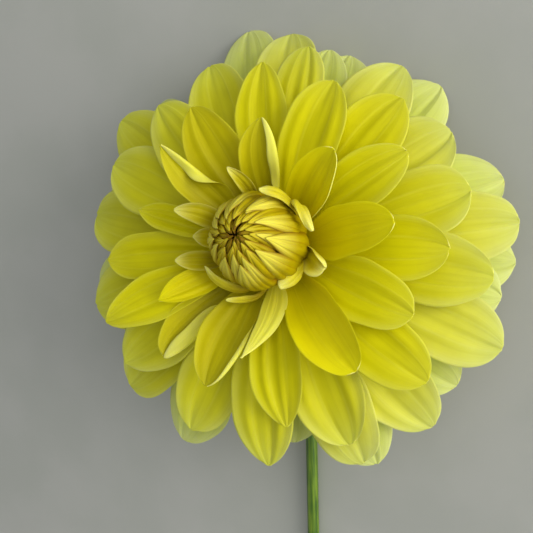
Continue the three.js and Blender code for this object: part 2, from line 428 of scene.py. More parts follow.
@dataclass(frozen=True)
class PetalSkin:
    """The living skin of a petal: waxy satin over thin, light-passing flesh.

    Fine veins run lengthwise and gather at the claw, their darker streaks partly painted shade of
    the pleats. The eye sees a deep yellow throat that pales towards the margin, a soft sheen on
    the folds, and light glowing through the rims. Some skins darken the throat further as painted
    shade where the claws overlap.
    stops are the places of throat, body and tip along the petal. The margin's colour sets in
    at margin_from, where 0 is the middle and 0.5 the rim.
    """

    name: str
    throat: str
    body: str
    tip: str
    margin: str
    vein: str
    stops: tuple[float, float, float] = (0.15, 0.52, 0.96)
    margin_from: float = 0.30
    margin_share: float = 0.6
    margin_all_along: bool = False
    roughness: float = 0.5
    gloss: float = 0.25
    # Coarse veins lie vein_mm apart over the petal's width, and fine ones in between.
    width_mm: float = 19.8
    vein_mm: float = 1.8
    vein_strength: float = 0.36
    main_vein: float = 0.07
    vein_changes: float = 1.1
    fine_veins: float = 3.1
    fine_changes: float = 2.6
    fine_share: float = 0.35
    # The relief of the veins. Real skin cells are about 0.04 mm wide, too fine to show, and so
    # they are drawn ten times as coarse.
    vein_relief_mm: float = 0.12
    cell_mm: float = 0.385
    cell_relief_mm: float = 0.015
    # Soft patches of uneven growth, and the depth to which light enters the flesh.
    cloud_mm: float = 11.1
    flesh_mm: float = 0.6
    glow: float = 0.36

    def build(self) -> Material:
        """Builds the material.

        Returns:
            The material, with its colour drawn over the petal's surface coordinates.
        """
        material = empty_material(self.name)
        tree = material.node_tree
        surface = add_node(tree, "ShaderNodeUVMap", {"uv_map": "surface"})
        place = add_node(tree, "ShaderNodeTexCoord").outputs["Object"]
        parts = add_node(tree, "ShaderNodeSeparateXYZ", inputs={0: surface})
        offset = add_node(
            tree, "ShaderNodeMath", {"operation": "SUBTRACT"}, {0: parts.outputs["X"], 1: 0.5}
        )
        aside = add_node(tree, "ShaderNodeMath", {"operation": "ABSOLUTE"}, {0: offset})
        veins = self._veins(tree, surface)
        # Two stronger veins stand to the left and right of the middle.
        main = add_node(
            tree,
            "ShaderNodeValToRGB",
            inputs={0: aside},
            stops=((0.13, 0.0), (0.165, 1.0), (0.20, 0.0)),
        )
        colour = self._colour(tree, aside, parts.outputs["Y"], veins, main)
        clouds = add_node(
            tree,
            "ShaderNodeTexNoise",
            inputs={"Vector": place, "Scale": per_metre(self.cloud_mm), "Detail": 3.0},
        )
        shade = add_node(
            tree,
            "ShaderNodeMapRange",
            inputs={
                "Value": clouds, "From Min": 0.3, "From Max": 0.7, "To Min": 0.93, "To Max": 1.06
            },
        )
        clouded = add_node(
            tree, "ShaderNodeHueSaturation", inputs={"Color": colour, "Value": shade}
        )
        shader = add_node(
            tree,
            "ShaderNodeBsdfPrincipled",
            inputs={
                "Base Color": clouded,
                "Normal": self._relief(tree, place, veins, main),
                "Roughness": self.roughness,
                "IOR": 1.4,
                "Specular IOR Level": self.gloss,
                "Specular Tint": srgb("#FFFFDC"),
                "Subsurface Weight": self.glow,
                "Subsurface Radius": (1.0, 0.92, 0.04),
                "Subsurface Scale": self.flesh_mm * MM,
            },
        )
        add_node(tree, "ShaderNodeOutputMaterial", inputs={0: shader})
        return material

    def _veins(self, tree: NodeTree, surface: Node) -> Node:
        """Draws noise out along the petal, so that it reads as coarse and fine veins.

        Args:
            tree: The material's node tree.
            surface: The petal's surface coordinates.

        Returns:
            The node that gives the veins' pattern.
        """
        coarse = self.width_mm / self.vein_mm
        fine = coarse * self.fine_veins
        layers = []
        for across, along in ((coarse, self.vein_changes), (fine, self.fine_changes)):
            drawn = add_node(
                tree, "ShaderNodeMapping", inputs={"Vector": surface, "Scale": (across, along, 1.0)}
            )
            noise = {"Vector": drawn, "Scale": 1.0, "Detail": 3.0, "Roughness": 0.55}
            layers.append(add_node(tree, "ShaderNodeTexNoise", inputs=noise))
        return add_node(
            tree,
            "ShaderNodeMix",
            {"data_type": "FLOAT"},
            {0: self.fine_share, 2: layers[0], 3: layers[1]},
        )

    def _colour(
        self, tree: NodeTree, aside: Node, along: bpy.types.NodeSocket, veins: Node, main: Node
    ) -> bpy.types.NodeSocket:
        """Lays the margin's and the veins' colours over those of throat, body and tip.

        Args:
            tree: The material's node tree.
            aside: Distance from the petal's middle, 0.5 at its rim.
            along: Place along the petal.
            veins: The fine veins' pattern.
            main: The main veins' pattern.

        Returns:
            The colour.
        """
        ramp = tuple(zip(self.stops, (self.throat, self.body, self.tip)))
        length = add_node(tree, "ShaderNodeValToRGB", inputs={0: along}, stops=ramp)
        rim = add_node(
            tree,
            "ShaderNodeMapRange",
            {"interpolation_type": "SMOOTHSTEP"},
            {
                "Value": aside,
                "From Min": self.margin_from,
                "From Max": 0.5,
                "To Max": self.margin_share,
            },
        )
        times = {"operation": "MULTIPLY"}
        if not self.margin_all_along:
            rim = add_node(tree, "ShaderNodeMath", times, {0: rim, 1: along})
        strong = add_node(tree, "ShaderNodeMath", times, {0: main, 1: self.main_vein})
        thin = add_node(
            tree,
            "ShaderNodeValToRGB",
            inputs={0: veins},
            stops=((0.44, 0.0), (0.68, self.vein_strength)),
        )
        # The fine veins' darker colour is partly painted shade of the pleats; on the bud's florets
        # the margin's dark colour is partly painted shade in the seams between them.
        colour = length.outputs[0]
        for share, over in ((rim, self.margin), (strong, self.margin), (thin, self.vein)):
            layer = add_node(
                tree, "ShaderNodeMix", {"data_type": "RGBA"}, {0: share, 6: colour, 7: srgb(over)}
            )
            colour = layer.outputs[2]
        return colour

    def _relief(
        self, tree: NodeTree, place: bpy.types.NodeSocket, veins: Node, main: Node
    ) -> Node:
        """Raises the veins and grains the skin with its cells.

        Args:
            tree: The material's node tree.
            place: The place in the object, in metres.
            veins: The fine veins' pattern.
            main: The main veins' pattern.

        Returns:
            The node that gives the surface normal.
        """
        height = add_node(
            tree, "ShaderNodeMix", {"data_type": "FLOAT"}, {0: 0.4, 2: veins, 3: main}
        )
        veined = add_node(
            tree,
            "ShaderNodeBump",
            inputs={"Height": height, "Strength": 0.6, "Distance": self.vein_relief_mm * MM},
        )
        cells = add_node(
            tree,
            "ShaderNodeTexNoise",
            inputs={"Vector": place, "Scale": per_metre(self.cell_mm), "Detail": 1.0},
        )
        return add_node(
            tree,
            "ShaderNodeBump",
            inputs={
                "Height": cells,
                "Strength": 0.2,
                "Distance": self.cell_relief_mm * MM,
                "Normal": veined,
            },
        )


@dataclass(frozen=True)
class GreenSkin:
    """Fresh plant skin: smooth, slightly waxy, with paler lengthwise streaks.

    The eye sees a soft wet-looking sheen over a green that is never quite even. A skin with a
    width_mm has its streaks as ribs over that width of a bract; one without has them along Y.
    """

    name: str
    dark: str
    light: str
    roughness: float
    streak_mm: float
    width_mm: float = 0.0
    streak_drawn_out: float = 0.06
    rib_changes: float = 1.2
    patch_mm: float = 8.33
    patch_share: float = 0.25
    relief_mm: float = 0.06
    flesh_mm: float = 1.0

    def build(self) -> Material:
        """Builds the material from streaks and soft patches.

        Returns:
            The material.
        """
        material = empty_material(self.name)
        tree = material.node_tree
        place = add_node(tree, "ShaderNodeTexCoord").outputs["Object"]
        density = per_metre(self.streak_mm)
        scale, source = (density, density * self.streak_drawn_out, density), place
        if self.width_mm:
            scale = (self.width_mm / self.streak_mm, self.rib_changes, 1.0)
            source = add_node(tree, "ShaderNodeUVMap", {"uv_map": "surface"})
        drawn = add_node(tree, "ShaderNodeMapping", inputs={"Vector": source, "Scale": scale})
        streaks = add_node(
            tree, "ShaderNodeTexNoise", inputs={"Vector": drawn, "Scale": 1.0, "Detail": 3.0}
        )
        patches = add_node(
            tree,
            "ShaderNodeTexNoise",
            inputs={"Vector": place, "Scale": per_metre(self.patch_mm), "Detail": 4.0},
        )
        both = add_node(
            tree,
            "ShaderNodeMix",
            {"data_type": "FLOAT"},
            {0: self.patch_share, 2: streaks, 3: patches},
        )
        green = add_node(
            tree,
            "ShaderNodeValToRGB",
            inputs={0: both},
            stops=((0.38, self.dark), (0.64, self.light)),
        )
        bump = add_node(
            tree,
            "ShaderNodeBump",
            inputs={"Height": both, "Strength": 0.5, "Distance": self.relief_mm * MM},
        )
        shader = add_node(
            tree,
            "ShaderNodeBsdfPrincipled",
            inputs={
                "Base Color": green,
                "Normal": bump,
                "Roughness": self.roughness,
                "IOR": 1.45,
                "Subsurface Weight": 0.15,
                "Subsurface Radius": (0.4, 1.0, 0.2),
                "Subsurface Scale": self.flesh_mm * MM,
                "Coat Weight": 0.15,
                "Coat Roughness": 0.35,
            },
        )
        add_node(tree, "ShaderNodeOutputMaterial", inputs={0: shader})
        return material


@dataclass(frozen=True)
class PaintedBoard:
    """Board painted a pale matt grey. The eye sees an even, shineless ground."""

    name: str = "pale_matt_board"
    colour: str = "#B4B5AF"
    patch: str = "#AEB0A9"
    patch_mm: float = 40.0

    def build(self) -> Material:
        """Builds the material.

        Returns:
            The material.
        """
        material = empty_material(self.name)
        tree = material.node_tree
        place = add_node(tree, "ShaderNodeTexCoord").outputs["Object"]
        patches = add_node(
            tree,
            "ShaderNodeTexNoise",
            inputs={"Vector": place, "Scale": per_metre(self.patch_mm), "Detail": 5.0},
        )
        paint = add_node(
            tree,
            "ShaderNodeValToRGB",
            inputs={0: patches},
            stops=((0.35, self.patch), (0.65, self.colour)),
        )
        shader = add_node(
            tree, "ShaderNodeBsdfPrincipled", inputs={"Base Color": paint, "Roughness": 0.9}
        )
        add_node(tree, "ShaderNodeOutputMaterial", inputs={0: shader})
        return material


# ------------------------------------------------------------------ shells

# The length of a profile's handles, as a share of the distance from base to tip.
CURVE_HANDLE = 0.38


@dataclass(frozen=True)
class Shell:
    """One of the nested shells that carry the petals, in millimetres and degrees.

    base and tip are radius and height. rise and open are the directions in which the profile
    leaves the base and reaches the tip, where 0 is straight up and 90 straight out.
    """

    place: float
    base: Span
    tip: Span
    rise: float
    open: float
    half_width: float
    cup: float

    def mixed_with(self, other: "Shell", share: float) -> "Shell":
        """Makes the shell part of the way from this one to another.

        Args:
            other: The shell at the far end.
            share: How far the way has gone, 0 to 1.

        Returns:
            The shell in between.
        """

        def mix(a: float, b: float) -> float:
            """The value part of the way from a to b."""
            return a + (b - a) * share

        return Shell(
            mix(self.place, other.place),
            (mix(self.base[0], other.base[0]), mix(self.base[1], other.base[1])),
            (mix(self.tip[0], other.tip[0]), mix(self.tip[1], other.tip[1])),
            mix(self.rise, other.rise),
            mix(self.open, other.open),
            mix(self.half_width, other.half_width),
            mix(self.cup, other.cup),
        )

    def profile(self, t: np.ndarray) -> tuple[np.ndarray, np.ndarray]:
        """The shell's profile as one cubic curve.

        Args:
            t: Places along it, 0 at the base and 1 at the tip.

        Returns:
            Radius and height at each place, and the unit direction of travel there.
        """
        base, tip = np.array(self.base), np.array(self.tip)
        handle = CURVE_HANDLE * np.linalg.norm(tip - base)

        def towards(angle: float) -> np.ndarray:
            """The unit direction at an angle from straight up."""
            return np.array([math.sin(math.radians(angle)), math.cos(math.radians(angle))])

        first = base + handle * towards(self.rise)
        second = tip - handle * towards(self.open)
        t = np.asarray(t, float)[..., None]
        s = 1 - t
        point = s**3 * base + 3 * s * s * t * first + 3 * s * t * t * second + t**3 * tip
        speed = 3 * s * s * (first - base) + 6 * s * t * (second - first)
        return point, unit(speed + 3 * t * t * (tip - second))


# The shells at which the form changes, from the bud outwards.
SHELLS = (
    Shell(0, (5.4, 12.0), (15.5, 28.0), 72, 8, 2.8, 50),
    Shell(8, (6.6, 10.2), (26.0, 25.0), 68, 52, 5.4, 30),
    Shell(14, (7.6, 8.6), (36.0, 20.5), 68, 84, 7.2, 22),
    Shell(22, (8.8, 6.6), (46.0, 15.5), 70, 94, 8.6, 20),
    Shell(34, (10.2, 3.6), (54.5, 8.0), 75, 100, 9.6, 18),
    Shell(50, (11.2, 0.4), (62.0, -3.5), 84, 108, 10.3, 16),
    Shell(69, (11.8, -3.2), (63.0, -11.0), 92, 112, 10.3, 15),
)


def shell_at(place: float) -> Shell:
    """Finds the shell of one place on the flower's spiral.

    Args:
        place: The place, counted from the heart.

    Returns:
        The shell between the two nearest named ones.
    """
    for low, high in zip(SHELLS, SHELLS[1:]):
        if place <= high.place:
            return low.mixed_with(high, (place - low.place) / (high.place - low.place))
    return SHELLS[-1]


# ------------------------------------------------------------------ petals


class Tone(Enum):
    """How a petal's colour departs from that of its ring."""

    RING = "as its ring"
    # Painted light: a paler, creamier copy of the skin for petals on the lit side.
    PALE = "bleached towards cream on the side that grew in the light"
    # Painted shade: a darker, fuller yellow copy of the skin for petals that should look shaded.
    DEEP = "a fuller yellow, as on the petals that opened last in the shade of others"


@dataclass(frozen=True)
class PetalForm:
    """How one petal departs from the plain form of its place, in degrees, shares and mm.

    turn, reach and width are those of the solid model. left and right add to the slope of the
    petal's sides, seen from its claw. A fold turns a side's outer part over, from fold_from of
    the half width outwards and from fold_start of the length onwards. pleat is the height of
    its pleats, crease the depth of the groove at its tip, point how pointed it ends and widest
    where it is widest. sway and lift move its tip sideways and up. over rolls the whole petal
    about its spine, and twist adds to that roll towards its tip.
    """

    turn: float = 0.0
    reach: float = 1.0
    width: float = 1.0
    left: float = 0.0
    right: float = 0.0
    fold_left: float = 0.0
    fold_right: float = 0.0
    fold_from: float = 0.7
    fold_start: float = 0.12
    pleat: float = 0.75
    crease: float = 0.055
    point: float = 0.48
    widest: float | None = None
    sway: float = 0.0
    lift: float = 0.0
    over: float = 0.0
    twist: float = 0.0
    tone: Tone = Tone.RING


# The petals that depart from the plain form, by their place on the spiral.
SINGLE_PETALS = {
    9: PetalForm(-9, 1.15, 1.25, left=6, right=20, fold_left=100, fold_from=0.84, point=0.44),
    10: PetalForm(
        9, 0.98, 0.58, sway=-18, over=-192, left=-20, right=-20, pleat=-0.2, crease=0, point=0.9,
        widest=0.4,
    ),
    11: PetalForm(
        -3, 1.17, 0.95, fold_left=165, fold_from=0.35, fold_start=0.42, left=10, right=22,
        point=0.7, tone=Tone.DEEP,
    ),
    12: PetalForm(6, 1.13, 1.15, left=6, right=6, pleat=0.12, crease=0.03, point=0.4),
    13: PetalForm(-17, 0.89, 0.66, left=10, right=34, over=-14, point=0.75, widest=0.55),
    14: PetalForm(2, 0.9, 1.0, fold_left=150, fold_from=0.5, left=6, point=0.65, tone=Tone.DEEP),
    15: PetalForm(2, 1.1, 1.15, left=8, right=16, pleat=0.12, crease=0.05, point=0.38),
    17: PetalForm(-3, 1.12, point=0.42),
    18: PetalForm(
        -8, 0.95, left=4, right=10, fold_right=120, fold_from=0.7, fold_start=0.3, point=0.64,
        tone=Tone.DEEP,
    ),
    19: PetalForm(point=0.58, tone=Tone.DEEP),
    20: PetalForm(-4, point=0.42),
    21: PetalForm(reach=1.1, width=0.85, left=12, right=12, point=0.68),
    23: PetalForm(-11, width=0.9, left=8, right=8, point=0.62, lift=-1.2, pleat=1.0),
    24: PetalForm(13, 0.78, 0.52, left=24, right=24, over=12, point=0.8),
    25: PetalForm(-14, pleat=0.2, point=0.42),
    26: PetalForm(
        -10, 0.8, 0.85, left=25, fold_right=150, fold_from=0.3, twist=-8, lift=2.5, tone=Tone.DEEP
    ),
    27: PetalForm(-5, width=0.85, left=12, right=12, point=0.64),
    28: PetalForm(reach=1.08, point=0.44),
    29: PetalForm(reach=0.93, width=0.8, left=14, right=14, point=0.66),
    31: PetalForm(reach=1.1, lift=-2.4, pleat=1.15, point=0.58),
    32: PetalForm(point=0.58),
    33: PetalForm(reach=1.09, point=0.42),
    34: PetalForm(1, 0.98, point=0.62),
    35: PetalForm(2, width=0.78),
    36: PetalForm(-7, 0.99, pleat=1.0),
    37: PetalForm(-11),
    38: PetalForm(-11, 0.95, point=0.42),
    39: PetalForm(-3, 0.96, point=0.56),
    40: PetalForm(2, 0.98),
    41: PetalForm(5, 1.12, point=0.42, tone=Tone.PALE),
    43: PetalForm(-2.5, tone=Tone.PALE),
    44: PetalForm(11, 1.03, tone=Tone.PALE),
    45: PetalForm(reach=1.1),
    46: PetalForm(reach=1.06, point=0.42, tone=Tone.PALE),
    47: PetalForm(-8.5),
    48: PetalForm(-2.5, tone=Tone.PALE),
    49: PetalForm(-2, tone=Tone.PALE),
    50: PetalForm(-6),
    51: PetalForm(-4, 0.87, point=0.42, tone=Tone.PALE),
    54: PetalForm(3, 0.95),
    55: PetalForm(reach=0.85),
    56: PetalForm(7, 0.91, 0.78),
    59: PetalForm(reach=0.98),
    60: PetalForm(-2),
    61: PetalForm(reach=1.08),
    62: PetalForm(-3, 0.92),
    64: PetalForm(-3, 0.97),
    65: PetalForm(reach=0.8),
    67: PetalForm(reach=0.97),
    69: PetalForm(-8, 0.9),
}


PETAL_SEED = 7


@dataclass(frozen=True)
class Habit:
    """A petal's chance features: its pleats, crease, notch, margins and waves."""

    pleats: tuple[Span, ...]
    crease: float
    notch: float
    notch_depth: float
    left: float
    right: float
    wave: float
    phase: float
    lift: float
    sway: float
    drift: float

    @classmethod
    def of(cls, place: int) -> "Habit":
        """Draws the habit of one petal, the same on every run.

        Args:
            place: The petal's place on the spiral.

        Returns:
            Its habit.
        """
        rng = random.Random(place * 10 + PETAL_SEED)
        return cls(
            pleats=tuple(
                (side * 0.48 + rng.uniform(-0.12, 0.12), rng.uniform(0.2, 1.0))
                for side in (-1, 0, 1)
            ),
            crease=rng.choice((-1, 1)) * rng.uniform(0.08, 0.3),
            notch=rng.uniform(-0.5, 0.5),
            notch_depth=max(rng.uniform(-0.3, 0.5), 0),
            left=rng.uniform(-14, 14),
            right=rng.uniform(-14, 14),
            wave=rng.uniform(0.15, 0.45),
            phase=rng.uniform(0, 2 * math.pi),
            lift=rng.uniform(-0.8, 0.8),
            sway=rng.uniform(-1.2, 1.2),
            drift=rng.uniform(-0.22, 0.22),
        )


@dataclass(frozen=True)
class Petal:
    """One open petal on its shell.

    Its sizes are millimetres, or shares of its length or half width. A pace is how many radians
    a wave of the margin goes through over the length. A span is the stretch of the length, 0 at
    the claw and 1 at the tip, over which a feature sets in or fades.
    """

    place: int
    azimuth: float
    form: PetalForm
    stations: int = 40
    strips: int = 30
    thickness: float = 0.4
    claw: float = 0.36
    blunt: float = 0.1
    widest: float = 0.6
    widest_shift: float = 0.13
    shoulder: float = 0.8
    roundness: float = 2.2
    fold_width: float = 0.25
    fold_length: float = 0.38
    pleat_width: float = 0.16
    pleat_fading: float = 0.85
    crease_width: float = 0.12
    notch_width: float = 0.4
    round_end: float = 0.35
    ripple: float = 0.2
    age_waves: float = 0.9
    wave_pace: float = 8.0
    ripple_pace: float = 17.0
    full_wave_from: float = 6.0
    sides_open: Span = (0.3, 0.9)
    pleats_rise: Span = (0.06, 0.35)
    pleats_fade: Span = (0.7, 1.0)
    crease_deepens: Span = (0.6, 0.98)
    waves_grow: Span = (0.25, 0.7)
    end_rounds: Span = (0.93, 1.0)
    broadening_places: Span = (12, 44)
    wavy_places: Span = (22, 44)

    def half_width(self, u: np.ndarray) -> np.ndarray:
        """Half the petal's width, from its narrow claw to its round tip.

        Args:
            u: Places along the petal.

        Returns:
            The half width at each place, in millimetres.
        """
        outer = float(smoothstep(self.place, *self.broadening_places))
        widest = self.form.widest or self.widest + self.widest_shift * outer
        opening = smoothstep(u, 0, widest)
        closing = np.clip((u - widest) / (1 - widest), 0, 1)
        tip = np.maximum(1 - closing**self.roundness, 0) ** self.form.point
        share = self.claw + (1 - self.claw) * opening**self.shoulder
        share = share * np.maximum(tip, self.blunt)
        return shell_at(self.place).half_width * self.form.width * share

    def section(self, u: float, v: np.ndarray, half: float, habit: Habit) -> np.ndarray:
        """The petal's cross-section at one station.

        Args:
            u: Place along the petal.
            v: Places across it, -1 to 1.
            half: Half width here, in millimetres.
            habit: The petal's chance features.

        Returns:
            Sideways and upward distance from the spine at each place, in millimetres.
        """
        form = self.form
        aside = np.abs(v)
        folding = smoothstep(aside, form.fold_from, form.fold_from + self.fold_width)
        folding = folding * smoothstep(u, form.fold_start, form.fold_start + self.fold_length)
        opened = smoothstep(u, *self.sides_open)
        cup = shell_at(self.place).cup
        left = (cup + form.left + habit.left * opened) * aside + form.fold_left * folding
        right = (cup + form.right + habit.right * opened) * aside + form.fold_right * folding
        slope = np.radians(np.where(v < 0, -left, right))
        step = np.diff(v) * half
        middle = (slope[1:] + slope[:-1]) / 2
        sideways = running_sum(np.cos(middle) * step)
        upward = running_sum(np.sin(middle) * step)
        centre = len(v) // 2
        sideways -= sideways[centre]
        upward -= upward[centre]
        window = 1 - self.pleat_fading * smoothstep(u, *self.pleats_fade)
        window = smoothstep(u, *self.pleats_rise) * window
        for place, share in habit.pleats:
            upward = upward + form.pleat * share * window * ridge(v, place, self.pleat_width)
        deep = form.crease * half * smoothstep(u, *self.crease_deepens)
        upward = upward - deep * ridge(v, habit.crease, self.crease_width)
        angle = math.radians(form.over + form.twist * u)
        turned = (
            sideways * math.cos(angle) - upward * math.sin(angle),
            sideways * math.sin(angle) + upward * math.cos(angle),
        )
        return np.stack(turned, -1)

    def grid(self, habit: Habit) -> np.ndarray:
        """The petal's middle surface.

        Args:
            habit: The petal's chance features.

        Returns:
            Points by station and strip, in the head's frame.
        """
        u = places_rounding(self.stations)
        v = np.linspace(-1, 1, self.strips + 1)
        spine, ahead = shell_at(self.place).profile(u * self.form.reach)
        half = self.half_width(u)
        notch = habit.notch_depth * half[-1] * ridge(v, habit.notch, self.notch_width)
        end = self.round_end * half[-1] * (1 - v**2) - notch
        waviness = 1 + self.age_waves * float(smoothstep(self.place, *self.wavy_places))
        rows = []
        for i, along in enumerate(u):
            side, up = self.section(along, v, half[i], habit).T
            shown = smoothstep(along, *self.waves_grow)
            shown = shown * min(half[i] / self.full_wave_from, 1) * waviness
            wave = math.sin(self.wave_pace * along + habit.phase)
            ripple = math.sin(self.ripple_pace * along + 3 * habit.phase)
            up = up + habit.wave * np.abs(v) ** 3 * wave * shown
            side = side + self.ripple * v**5 * ripple * shown
            on = end * smoothstep(along, *self.end_rounds)
            radius = spine[i, 0] - up * ahead[i, 1] + on * ahead[i, 0]
            height = spine[i, 1] + up * ahead[i, 0] + on * ahead[i, 1]
            height = height + (self.form.lift + habit.lift) * along**3
            angle = math.radians(self.azimuth + (self.form.sway + habit.sway) * along**2)
            angle = angle + side / max(spine[i, 0], 1.0)
            rows.append(np.stack([radius * np.cos(angle), radius * np.sin(angle), height], -1))
        return np.array(rows)

    def build(self, name: str) -> Piece:
        """Builds the petal's mesh with its face up.

        Args:
            name: The object's name.

        Returns:
            The petal, with its face and its reverse as the two material numbers.
        """
        habit = Habit.of(self.place)
        facing_up = self.grid(habit)[:, ::-1]
        thickness = thinned(facing_up, self.thickness, rim=0.92, power=4, tip=0.3)
        return sheet_object(name, facing_up, thickness, habit.drift)


class Ring(Enum):
    """Rings of petals whose colour pales from the heart outwards, by their last place."""

    INNER = 16
    MIDDLE = 30
    OUTER = 52
    REAR = 69


# Young petals have the fullest yellow with a golden throat. The eye sees the rings pale outwards
# to a lemon body with a creamy margin, and to a cool greenish cream at the rear, where the light
# comes through from behind.
RING_SKINS = {
    # The inner ring's throat is darker than its body, partly as painted shade where the claws crowd
    # round the heart.
    Ring.INNER: PetalSkin(
        "inner_petal_skin", "#CCBC00", "#E2D600", "#E0DA08", "#DEDA3C", "#C4B800",
        stops=(0.08, 0.45, 0.96), margin_from=0.42, margin_share=0.25,
    ),
    Ring.MIDDLE: PetalSkin(
        "middle_petal_skin", "#D8CE00", "#D6D002", "#D0CE30", "#D8DA6C", "#BCB400",
        stops=(0.1, 0.5, 0.98), margin_from=0.36, margin_share=0.4,
    ),
    Ring.OUTER: PetalSkin(
        "outer_petal_skin", "#DED604", "#D2CE12", "#CED24C", "#D8DC82", "#BEBA0C",
        stops=(0.12, 0.5, 0.95), margin_from=0.28, margin_share=0.55, gloss=0.4,
    ),
    Ring.REAR: PetalSkin(
        "rear_petal_skin", "#C8CA3A", "#CED660", "#D2DA84", "#D8E098", "#B0B650",
        margin_from=0.24, gloss=0.4,
    ),
}

# Painted light and painted shade: the pale skin is cream-yellow nearly all over, for petals on
# the lit side; the deep skin is olive gold, for petals that should look shaded.
TONE_SKINS = {
    Tone.PALE: PetalSkin(
        "painted_light_petal_skin", "#E0DA14", "#D2D038", "#D0D66C", "#DAE096", "#BEBC28",
        stops=(0.12, 0.5, 0.94), margin_from=0.32, margin_share=0.5, gloss=0.4,
    ),
    Tone.DEEP: PetalSkin(
        "painted_shade_petal_skin", "#AEA200", "#C2B800", "#C0BA18", "#CCCC50", "#A8A000",
        stops=(0.1, 0.5, 0.98), margin_from=0.38, margin_share=0.4,
    ),
}

# The reverse has flatter, drier cells than the face, so it looks duller and milkier.
REVERSE_SKIN = PetalSkin(
    "petal_reverse_skin", "#D0C82C", "#EAE650", "#F2EE78", "#F0EE84", "#D4CE3C", roughness=0.58
)


@dataclass(frozen=True)
class Petals:
    """The open petals, which follow one another round the head by the golden angle."""

    first: int = 9
    last: int = 69
    empty: tuple[int, ...] = (16, 52, 53, 68)

    def forms(self) -> dict[int, PetalForm]:
        """Lists the petals.

        Returns:
            Each petal's form by its place on the spiral.
        """
        places = [place for place in range(self.first, self.last + 1) if place not in self.empty]
        return {place: SINGLE_PETALS.get(place, PetalForm()) for place in places}

    def build(self) -> list[Piece]:
        """Builds every petal's mesh.

        Returns:
            The petals from the heart outwards.
        """
        built = []
        for place, form in self.forms().items():
            azimuth = FIRST_AZIMUTH - GOLDEN_ANGLE * place + form.turn
            built.append(Petal(place, azimuth, form).build(f"bloom_petal_{place:02d}"))
        return built

    def dress(self, pieces: list[Piece]) -> None:
        """Gives each petal the skin of its tone or ring, and its node.

        Args:
            pieces: The petals from the heart outwards.
        """
        by_ring = {ring: skin.build() for ring, skin in RING_SKINS.items()}
        by_tone = {tone: skin.build() for tone, skin in TONE_SKINS.items()}
        reverse = REVERSE_SKIN.build()
        for (place, form), piece in zip(self.forms().items(), pieces):
            ring = next(ring for ring in Ring if place <= ring.value)
            face = by_tone.get(form.tone, by_ring[ring])
            hand_over(piece, (face, reverse), f"petal_{place:02d}")


# ------------------------------------------------------------------ heart

# Closed florets are thick and waxy, folded lengthwise, with few coarse veins. The eye sees
# greenish gold feet, butter-yellow backs and brown-gold margins that draw together to a dark
# whorl. Part of this is painted: the darker feet are partly painted shade where the florets tuck
# under, the pale tips are partly painted highlight, and the dark margins, main veins and streaks
# are partly painted shade in the seams and creases between the florets. The loose florets round
# them are as pale as cream at their tips, which is painted light where they lie in the bud's
# shade; their darker feet are painted shade where they go under.
BUD_OUTER_SKIN = PetalSkin(
    "bud_floret_skin", "#A08E00", "#AE9C00", "#EADF50", "#8A6200", "#947800",
    stops=(0.1, 0.36, 0.72), margin_share=0.8, margin_all_along=True,
    width_mm=9.6, vein_mm=1.6, vein_strength=0.42, main_vein=0.3,
)
BUD_MIDDLE_SKIN = PetalSkin(
    "bud_middle_skin", "#9C8600", "#BAA800", "#DECE30", "#947010", "#907200",
    stops=(0.1, 0.45, 0.85), margin_from=0.26, margin_share=0.9, margin_all_along=True,
    width_mm=6.0, vein_mm=1.2, vein_strength=0.4, main_vein=0.3,
)
BUD_INNER_SKIN = PetalSkin(
    "bud_centre_skin", "#7A6404", "#A08A0C", "#7E5A0C", "#8E6410", "#84580A",
    margin_share=0.9, width_mm=2.4, vein_mm=0.6, vein_strength=0.5, main_vein=0.0,
)
# Painted light: the leaning florets' light bodies and cream tips brighten them where they lie in
# the bud's shade. Painted shade: their darker feet, where they go under.
LEANING_SKIN = PetalSkin(
    "leaning_floret_skin", "#988800", "#D2C612", "#EEE976", "#F2EE8C", "#BAAA08",
    width_mm=5.6, vein_mm=0.8,
)
LEANING_REVERSE_SKIN = PetalSkin(
    "leaning_reverse_skin", "#988600", "#D2C626", "#EEEA78", "#ECE670", "#B4A410",
    width_mm=5.4, vein_mm=0.9,
)


